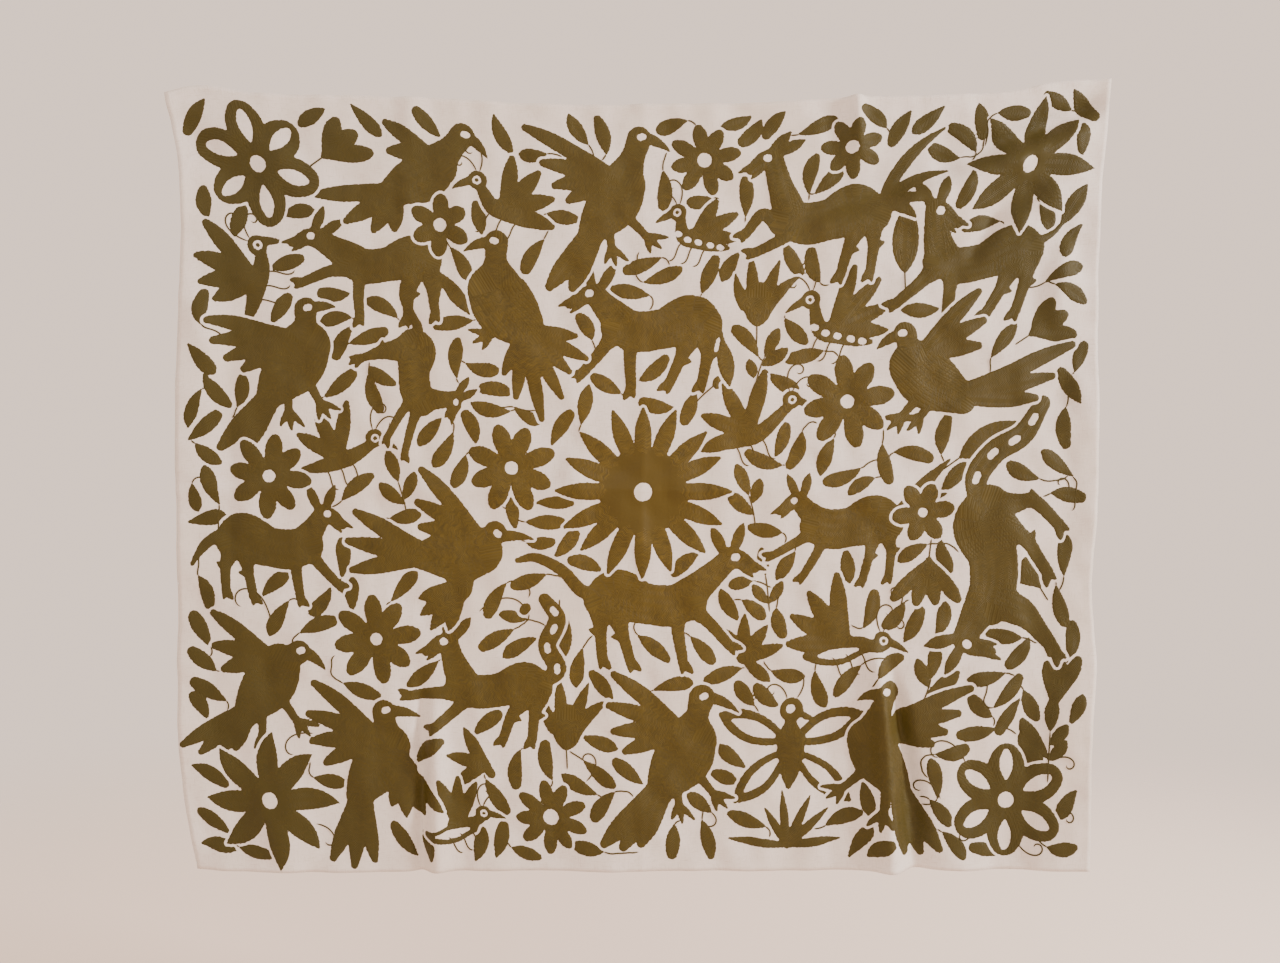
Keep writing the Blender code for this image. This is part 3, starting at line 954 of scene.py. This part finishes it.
def bug(wing, wing_width=9, body="plain", beak=-30, head=(30, 12)):
    """A small winged thing that faces right. Its wing is a fan, as a bird's is, its beak is a heading,
    and its head is the place of its middle."""
    x, y = head
    shapes = stroke((x - 4, y - 8, 6), (10, -6, 10), (-14, -14, 10), (-36, -20, 7), (-52, -22, 3))
    if body == "slot":
        shapes += stroke((16, -10, 8), (-12, -19, 12), (-36, -22, 9), (-54, -20, 5))
    shapes += dot(x, y, 11.5, kind="fill")
    shapes += blade(x + 8, y - 1, beak, 27, 4.8, root=1, tip=0.1, fullest=0.15, bend=-12)
    shapes += dot(x + 1, y, 5.0) + dot(x + 1, y, 2.2, kind="pupil")
    shapes += stroke((4, -6, 9), (-10, -4, 11))
    shapes += fan(-6, -6, *wing, wing_width, root=0.8, tip=0.35, fullest=0.6)
    if body == "slot":
        slot = np.array([[10, -12, 1.5], [-8, -17, 5.5], [-24, -19, 5.5], [-38, -20, 1.5]])
        shapes += [("hole", slot)]
    if body == "spots":
        for a, b in ((17, -2), (4, -10), (-11, -14), (-28, -18), (-42, -21)):
            shapes += dot(a, b, 3.5, long=2.5, heading=20)
    for number in range(3):
        shapes += line(12 - 17 * number, -14 - 4 * number, -40, 34, -110, 170)
    for heading, length, bend, curl in FEELERS:
        shapes += line(x - 2 + 3 * (heading < 90), y + 10, heading, length, bend, curl)
    return shapes


def butterfly():
    """A winged thing from above, with four slotted wings. A wing is its root, heading, length and half
    width, and its slot has the same."""
    shapes = stroke((0, 22, 5), (0, 8, 14), (0, -14, 17), (2, -40, 11), (4, -58, 3))
    shapes += dot(0, 40, 15, kind="fill") + stroke((0, 34, 6), (0, 14, 9))
    shapes += blade(-10, 36, 205, 30, 4, root=1, tip=0.1, fullest=0.15, bend=-10)
    wings = ((10, 2, 22, 90, 20, "fill"), (8, -16, -42, 92, 18, "fill"),
             (22, 7, 21, 58, 9, "hole"), (18, -25, -42, 58, 8, "hole"))
    for side in (-1, 1):
        for a, b, heading, length, width, kind in wings:
            heading = heading if side == 1 else 180 - heading
            shapes += blade(side * a, b, heading, length, width, root=0.3, tip=0.15, fullest=0.52,
                            kind=kind)
    shapes += dot(1, 41, 5, long=1)
    return shapes + line(-6, 54, 128, 66, -80, -250) + line(6, 53, 78, 58, -90, -270)


BUGS = (
    # a, b, turn, size, facing, bug
    (-508, -234, 60, 1.12, 1, bug(wing=(73, 151, (88, 74, 64, 54)), wing_width=10, beak=-60)),
    (-184, -132, -4, 1.04, -1, bug(wing=(96, 196, (68, 66, 64, 66)), wing_width=10, head=(30, 25))),
    (64, -168, 0, 0.94, -1,
     bug(body="spots", wing=(121, 182, (60, 68, 64)), wing_width=9.5, head=(18, 28))),
    (248, -294, 0, 1.06, -1,
     bug(body="spots", wing=(108, 182, (82, 86, 76, 68)), wing_width=9.5, head=(22, 33))),
    (-384, -460, 0, 1.0, 1, bug(wing=(82, 152, (74, 68, 62)), wing_width=9.5, head=(41, 19))),
    (150, -424, 0, 1.02, 1, bug(wing=(75, 200, (84, 72, 64, 64)), wing_width=10, head=(50, 35))),
    (280, -702, 0, 1.04, 1,
     bug(body="slot", wing=(95, 178, (90, 80, 76, 74)), wing_width=11, head=(43, -2))),
    (-236, -936, 0, 0.86, 1, bug(body="slot", wing=(62, 108, (74, 74, 74)), head=(35, 12), beak=-14)),
    (206, -832, 0, 1.02, -1, butterfly()),
)
bugs = embroider("bugs", all_placed(BUGS))

# ------------------------------------------------------------
# The plants. The same floss and filling for tulips, lobed leaves, grass and sprigs, each on a stem
# that is one line of outline stitch.
# ------------------------------------------------------------


def tulip():
    """A cup of four points on its stem, which starts at the origin."""
    shapes = line(0, 0, 88, 34, 6)
    shapes += stroke((0, 36, 9), (1, 48, 18), (1, 60, 21), (1, 68, 21))
    for a, b, heading, length, fullest, bend in ((-18, 56, 108, 48, 0.2, -22), (-6, 62, 95, 64, 0.4, 0),
                                                 (8, 60, 70, 62, 0.4, 0), (16, 54, 44, 60, 0.35, -36)):
        shapes += blade(a, b, heading, length, 8.5, root=0.9, tip=0.1, fullest=fullest, bend=bend)
    return shapes


def lobed_leaf(lobes, spread, length, width):
    """A leaf cut into round lobes, like a hand, on a short stem that ends at the origin."""
    shapes = line(-26, 0, 0, 27) + stroke((0, 0, 2), (14, 0, 9), (30, 0, 15))
    lengths = length * (1 + 0.1 * np.sin(1.7 * np.arange(lobes) + 2))
    return shapes + fan(4, 0, -spread / 2, spread / 2, lengths, width, root=0.3, tip=0.6, fullest=0.75)


def leaf(length, width, tip, bend, stem, fullest):
    """One leaf on a stem from the origin."""
    grown = blade(stem, 0, bend / 2, length, width, root=0.12, tip=tip, fullest=fullest, bend=bend)
    return line(0, 0, 0, stem) + grown


def sprig(length, bend, pairs, size):
    """A stem from the origin with leaves on both sides and one at its tip. Pairs are rows of a share
    along the stem, a side and a share of the leaf size."""
    shapes = line(0, 0, 0, length, bend)
    path = shapes[0][1]
    turned = dict(root=0.12, tip=0.35, fullest=0.62)
    for share, side, scale in pairs:
        at = min(len(path) - 2, int(share * (len(path) - 1)))
        aside = heading_at(path, at) + side * 38
        shapes += blade(*path[at, :2], aside, size * scale, 0.21 * size * scale**0.5,
                        bend=-side * 20, **turned)
    return shapes + blade(*path[-1, :2], bend, size, 0.21 * size, **turned)


def grass(headings, lengths):
    """Pointed blades that stand up from one place."""
    return [s for heading, length in zip(headings, lengths)
            for s in blade(0, 0, heading, length, 6.5, root=0.5, tip=0.1, fullest=0.5)]


def tendril(length, bend, curl, bud=0.0):
    """A curling stem from the origin, with a round bud at its end or none."""
    shapes = line(0, 0, 0, length, bend, curl)
    return shapes + dot(*shapes[0][1][-1, :2], bud, long=0.8 * bud, kind="fill") if bud else shapes


PLANTS = (
    # a, b, turn, size, plant
    (154, -316, 0, 0.92, tulip()),
    (-90, -868, 0, 0.95, tulip()),
    (-412, -80, 34, 0.92, lobed_leaf(3, 60, 64, 12)),
    (512, -318, 26, 0.85, lobed_leaf(3, 64, 62, 12)),
    (550, -790, 84, 0.9, lobed_leaf(3, 40, 66, 10)),
    (534, -640, 122, 0.8, lobed_leaf(3, 56, 56, 11)),
    (386, -596, -92, 0.92, lobed_leaf(4, 80, 70, 10)),
    (140, -724, 0, 0.9,
     fan(0, 0, 18, 118, (64, 62, 66, 50), 9.5, root=0.7, tip=0.15, fullest=0.5)
     + blade(0, 0, -40, 52, 9.5, tip=0.1)),
    (-200, -862, 0, 0.9,
     fan(0, 0, 118, 214, (60, 56, 56), 9.5, root=0.8, tip=0.15, fullest=0.5)
     + stroke((0, 0, 8), (10, -14, 6))),
    (196, -968, 0, 0.86, grass((172, 118, 92, 62, 40, 8), (92, 66, 84, 86, 88, 84))),
    (348, -250, 92, 1.0, leaf(86, 18, 0.05, 0, 24, 0.45)),
    (398, -484, 34, 1.0, leaf(84, 18, 0.2, -10, 30, 0.5)),
    (-98, -646, -92, 1.0, leaf(72, 17, 0.08, 0, 12, 0.5)),
    (-300, -540, 100, 1.0, sprig(46, 10, ((0.35, 1, 1.0), (0.5, -1, 0.9)), 42)),
    (156, -560, 92, 1.0, sprig(52, 20, ((0.5, 1, 1.1), (0.8, -1, 0.8)), 42)),
    (178, -664, 92, 1.0, sprig(50, 10, ((0.3, 1, 0.9), (0.3, -1, 0.9)), 36)),
    (152, -378, 84, 1.0, sprig(50, -20, ((0.4, 1, 0.7), (0.75, -1, 1.0)), 40)),
    (545, -888, 88, 0.95,
     sprig(70, 0, ((0.2, 1, 1.5), (0.45, -1, 0.8), (0.5, 1, 1.5), (0.75, -1, 0.8)), 44)),
    (378, -786, 70, 1.0, sprig(36, 10, ((0.4, -1, 1.2), (0.7, 1, 0.9)), 44)),
    (-476, -690, 96, 1.0, tendril(104, 40, 220)),
    (-288, -372, 50, 1.0, tendril(58, 60, 260)),
    (-204, -664, 48, 1.0, tendril(72, -60, -60, bud=6)),
    (438, -862, 112, 1.0, tendril(84, 60, 210)),
    (552, -858, 30, 1.0, tendril(48, -80, -240)),
    (556, -922, 10, 1.0, tendril(42, -60, -240)),
    (508, -966, -60, 0.9, tendril(64, 80, 260)),
    (446, -944, -100, 1.0, tendril(36, -40, -200)),
    (404, -908, 112, 1.0, tendril(62, 40, 250)),
    (560, -528, 62, 1.0, tendril(44, 70, 220)),
    (62, -414, 70, 1.0, tendril(66, -50, 20, bud=6)),
    (-424, -822, 172, 1.0, tendril(62, 50, 150)),
    (-430, -938, -10, 1.0, tendril(52, -70, -180)),
    (-66, -884, 42, 1.0, tendril(62, 50, 230)),
    (350, -660, 66, 1.0, tendril(44, 60, 220)),
    (132, -262, 22, 1.0, tendril(36, 50, -260)),
)
plants = embroider("plants", all_placed(PLANTS))

# ------------------------------------------------------------
# The leaves. Small leaves of the same floss fill what is left between the figures, each on a
# curved stem of outline stitch that runs back to a figure.
# ------------------------------------------------------------
LEAF_STEP = 3  # cells of the drawing grid to one step of the search for room
BORDER = 17.0  # mm of the panel's edge that stays bare
CLEAR = 8.0  # mm of bare cloth that a leaf's middle line keeps beyond its own half width
LEAST_ROOM = 4.4  # mm of room beyond CLEAR without which no leaf is placed
ROOM_CELLS = 22  # steps of the search over which distances are told apart
ROOM_ROUND = 55  # mm round a new leaf within which the room is measured again
RUN_SLACK = 3.0  # mm by which a leaf's ends may come closer than its middle
LONG_RUN, RUN_CHANCE = 48, 16  # mm beyond which a free run counts no more, and what chance adds to it
MOST_LEAVES = 210
HALF_WIDTHS = (5.8, 9.5)  # mm
BEHIND, AHEAD, SHORTEST = 24, 28, 17  # mm that a leaf may reach each way, and its least length
LEAF_BEND = 40  # degrees to either side
LEAF_TIPS = (0.15, 0.5, 0.65, 0.75)  # from pointed to round
STEP_ALONG = 3.0  # mm of a step along a free run or a stem
STEM_STEPS = 16
STEERS, CURLS = 0.22, 0.12  # radians that a stem turns at a step, towards a figure and of itself
LEAF_SEED = 4


def room_left(field, step):
    """How far each place lies from the nearest figure, by passing the distance on from cell to cell."""
    room = np.where(field > -0.5, 0.0, 1e3)
    for _ in range(ROOM_CELLS):
        p = np.pad(room, 1, constant_values=1e3)
        beside = [p[:-2, 1:-1], p[2:, 1:-1], p[1:-1, :-2], p[1:-1, 2:]]
        slanting = [p[:-2, :-2], p[2:, 2:], p[:-2, 2:], p[2:, :-2]]
        near = [side + step for side in beside] + [side + step * 2**0.5 for side in slanting]
        room = np.minimum.reduce([room, *near])
    return room


def filling_leaves():
    """Leaves placed one by one where there is most room, each along the heading that has the longest
    free run. Its stem starts at its root and turns towards the nearest figure until it meets it."""
    dice = np.random.default_rng(LEAF_SEED)
    lines_a, lines_b = drawn_a[::LEAF_STEP], drawn_b[::LEAF_STEP]
    a_here, b_here = grid_a[::LEAF_STEP, ::LEAF_STEP], grid_b[::LEAF_STEP, ::LEAF_STEP]
    step = lines_a[1] - lines_a[0]
    room = room_left(taken[::LEAF_STEP, ::LEAF_STEP], step)
    edge = np.minimum.reduce([a_here + WIDE / 2, WIDE / 2 - a_here, b_here + TALL, -b_here])
    edge = edge - BORDER + CLEAR
    room = np.minimum(room, np.maximum(edge, 0))

    def at(a, b):
        column = np.clip(np.rint((a + WIDE / 2) / step).astype(int), 0, len(lines_a) - 1)
        row = np.clip(np.rint((b + TALL) / step).astype(int), 0, len(lines_b) - 1)
        return room[row, column]

    shapes = []
    headings = np.radians(np.arange(0, 360, 10))
    half = len(headings) // 2
    reaches = np.arange(1, 13) * STEP_ALONG
    for _ in range(MOST_LEAVES):
        row, column = np.unravel_index(np.argmax(room), room.shape)
        if room[row, column] < CLEAR + LEAST_ROOM:
            break
        a, b = lines_a[column], lines_b[row]
        free = at(a + np.outer(np.cos(headings), reaches), b + np.outer(np.sin(headings), reaches))
        run = STEP_ALONG * np.cumprod(free > CLEAR - RUN_SLACK, axis=1).sum(axis=1)
        both = np.minimum(run[:half] + run[half:], LONG_RUN) + dice.uniform(0, RUN_CHANCE, half)
        best = int(both.argmax()) + half * int(dice.random() < 0.5)
        ahead, behind = run[best], run[(best + half) % len(run)]
        behind = min(behind, BEHIND)
        length = max(min(ahead, AHEAD) + behind, SHORTEST)
        half_width = min(np.clip(room[row, column] - CLEAR, *HALF_WIDTHS), 0.25 * length)
        heading, bend = np.degrees(headings[best]), dice.uniform(-LEAF_BEND, LEAF_BEND)
        root = np.array([a, b]) - behind * np.array([np.cos(headings[best]), np.sin(headings[best])])
        made = blade(*root, heading, length, half_width, root=0.12, tip=dice.choice(LEAF_TIPS),
                     fullest=dice.uniform(0.55, 0.74), bend=bend)
        stem, angle = [root], np.radians(heading - bend / 2 + 180)
        turning = dice.choice([-CURLS, CURLS])
        for _ in range(STEM_STEPS):
            sides = angle + np.array([-0.5, 0.0, 0.5])
            ahead_room = at(stem[-1][0] + 4 * np.cos(sides), stem[-1][1] + 4 * np.sin(sides))
            angle += (np.argmin(ahead_room) - 1) * STEERS + turning
            stem.append(stem[-1] + STEP_ALONG * np.array([np.cos(angle), np.sin(angle)]))
            if at(*stem[-1]) <= 0:
                break
        stem = np.array(stem)
        if np.all(np.abs(stem + [0, TALL / 2]) < [WIDE / 2 - BORDER, TALL / 2 - BORDER]):
            made += [("line", np.column_stack([stem, np.full(len(stem), THREAD)]))]
        shapes += made
        window = around(made[0][1] + [0, 0, ROOM_ROUND], (lines_a, lines_b))
        depth = nearest(made[0][1], a_here[window], b_here[window])[0]
        room[window] = np.minimum(room[window], np.maximum(-depth, 0))
    return shapes


leaves = embroider("filling_leaves", filling_leaves())

# ------------------------------------------------------------
# The back of the embroidery. The floss is carried across the front only, so the back shows just the
# small stitches where the needle turns, one after another along the edge of every figure.
# ------------------------------------------------------------
TURN_PITCH = 5.5  # mm from one stitch to the next
TURN_LENGTH, TURN_HALF = 3.8, 0.75  # mm
TURN_HEIGHT, TURN_SINK = 0.0005, 0.0003  # metres above and below its middle
TURN_LIFT = 0.0001  # metres that its middle stands off the cloth


def turning_places(field, pitch):
    """One place in each square of the pitch that the edge of a figure runs through, with the edge's
    direction there."""
    rows, columns = np.nonzero((field[:, 1:] > 0) != (field[:, :-1] > 0))
    more = np.nonzero((field[1:] > 0) != (field[:-1] > 0))
    rows, columns = np.append(rows, more[0]), np.append(columns, more[1])
    square = np.floor(drawn_a[columns] / pitch) * 1000 + np.floor(drawn_b[rows] / pitch)
    first = np.unique(square, return_index=True)[1]
    rows = np.clip(rows[first], 2, field.shape[0] - 3)
    columns = np.clip(columns[first], 2, field.shape[1] - 3)
    rise_a = field[rows, columns + 2] - field[rows, columns - 2]
    rise_b = field[rows + 2, columns] - field[rows - 2, columns]
    steep = np.hypot(rise_a, rise_b) + 1e-9
    return drawn_a[columns], drawn_b[rows], -rise_b / steep, rise_a / steep


def reverse_stitches():
    """Every stitch is a slim eight-sided grain, half sunk in the back of the cloth."""
    a, b, along_a, along_b = turning_places(worked, TURN_PITCH)
    tip, side = TURN_LENGTH / 2, TURN_HALF
    # a grain's corners: share along, share aside, lift
    grain = np.array([(tip, 0, 0), (0, side, 0), (-tip, 0, 0), (0, -side, 0), (0, 0, TURN_HEIGHT),
                      (0, 0, -TURN_SINK)])
    spot_a = a[:, None] + along_a[:, None] * grain[:, 0] - along_b[:, None] * grain[:, 1]
    spot_b = b[:, None] + along_b[:, None] * grain[:, 0] + along_a[:, None] * grain[:, 1]
    lift = np.broadcast_to(grain[:, 2] + TURN_LIFT, spot_a.shape)
    points = on_cloth(spot_a.ravel(), spot_b.ravel(), lift.ravel(), back=True)
    sides = np.array([(i, (i + 1) % 4) for i in range(4)])
    upper, lower = np.column_stack([sides[:, ::-1], [4] * 4]), np.column_stack([sides, [5] * 4])
    faces = np.concatenate([upper, lower])
    faces = (faces[None] + 6 * np.arange(len(a))[:, None, None]).reshape(-1, 3)
    uv = np.tile(grain[:, :2] / 1000, (len(a), 1))[faces]
    return thread_piece("reverse_stitches", points, faces, uv)


pieces = [flowers, birds, deer_piece, bugs, plants, leaves, reverse_stitches()]

# ------------------------------------------------------------
# The stage: a plain pale floor that fades into an even pale ground, a window's light that grazes the
# cloth from the right, softer light from above, and a little from behind for the back.
# ------------------------------------------------------------
FLOOR_Z = -1.32
FLOOR_RADIUS, FADE_START = 3.2, 0.9  # metres from the middle of the floor
RINGS, SIDES_OF_RING = 9, 64
GROUND, FLOOR = "F2D9C8", "F0DFD2"


def floor_material():
    """Matt and pale, and clear towards its rim, so that no edge shows."""
    material, tree, shader = new_material("pale_matt_floor", 0.9, 0.1)
    place = add_node(tree, "TexCoord").outputs["Object"]
    level = add_node(tree, "VectorMath", {0: place, 1: (1, 1, 0)}, operation="MULTIPLY").outputs[0]
    away = add_node(tree, "VectorMath", {0: level}, operation="LENGTH").outputs["Value"]
    fade = add_node(tree, "MapRange", {0: away, 1: FADE_START, 2: FLOOR_RADIUS, 3: 1.0, 4: 0.0},
                    interpolation_type="SMOOTHSTEP")
    tree.links.new(fade.outputs[0], shader.inputs["Alpha"])
    shader.inputs["Base Color"].default_value = linear(FLOOR)
    return material


ring = np.linspace(0, 2 * np.pi, SIDES_OF_RING, endpoint=False)
radii = np.linspace(0.0001, FLOOR_RADIUS, RINGS)[:, None]
level = np.full((RINGS, SIDES_OF_RING), FLOOR_Z)
disc = np.stack([radii * np.cos(ring), radii * np.sin(ring), level], axis=-1)
number = np.arange(level.size).reshape(level.shape)
beside = np.roll(number, -1, axis=1)
rings = np.stack([number[:-1], number[1:], beside[1:], beside[:-1]], axis=-1).reshape(-1, 4)
floor = new_piece("floor", disc.reshape(-1, 3), rings, floor_material())

world = bpy.data.worlds.new("pale_ground")
world.use_nodes = True
background = world.node_tree.nodes["Background"].inputs
background["Color"].default_value = linear(GROUND)
background["Strength"].default_value = 1.55
bpy.context.scene.world = world

LIGHTS = (
    # name, place, aimed at, width, height, watts
    ("window_right", (3.6, -1.25, 0.5), (0.0, 0.0, -0.5), 0.7, 1.1, 190),
    ("window_above", (-0.6, -1.9, 1.5), (0.0, 0.0, -0.45), 1.6, 1.2, 24),
    ("behind", (1.9, 1.9, 1.0), (0.0, 0.0, -0.45), 1.2, 1.2, 34),
)
for name, place, target, width, height, watts in LIGHTS:
    data = bpy.data.lights.new(name, "AREA")
    data.shape, data.size, data.size_y, data.energy = "RECTANGLE", width, height, watts
    light = bpy.data.objects.new(name, data)
    light.location = place
    aim = np.subtract(target, place)
    light.rotation_euler = Vector(aim).to_track_quat("-Z", "Y").to_euler()
    bpy.context.scene.collection.objects.link(light)

camera_data = bpy.data.cameras.new("camera")
camera_data.lens, camera_data.sensor_width = 35.0, 36.0
camera = bpy.data.objects.new("camera", camera_data)
camera.location = (0.001, -1.577, -0.479)
camera.rotation_euler = (np.pi / 2, 0, 0)
bpy.context.scene.collection.objects.link(camera)
bpy.context.scene.camera = camera
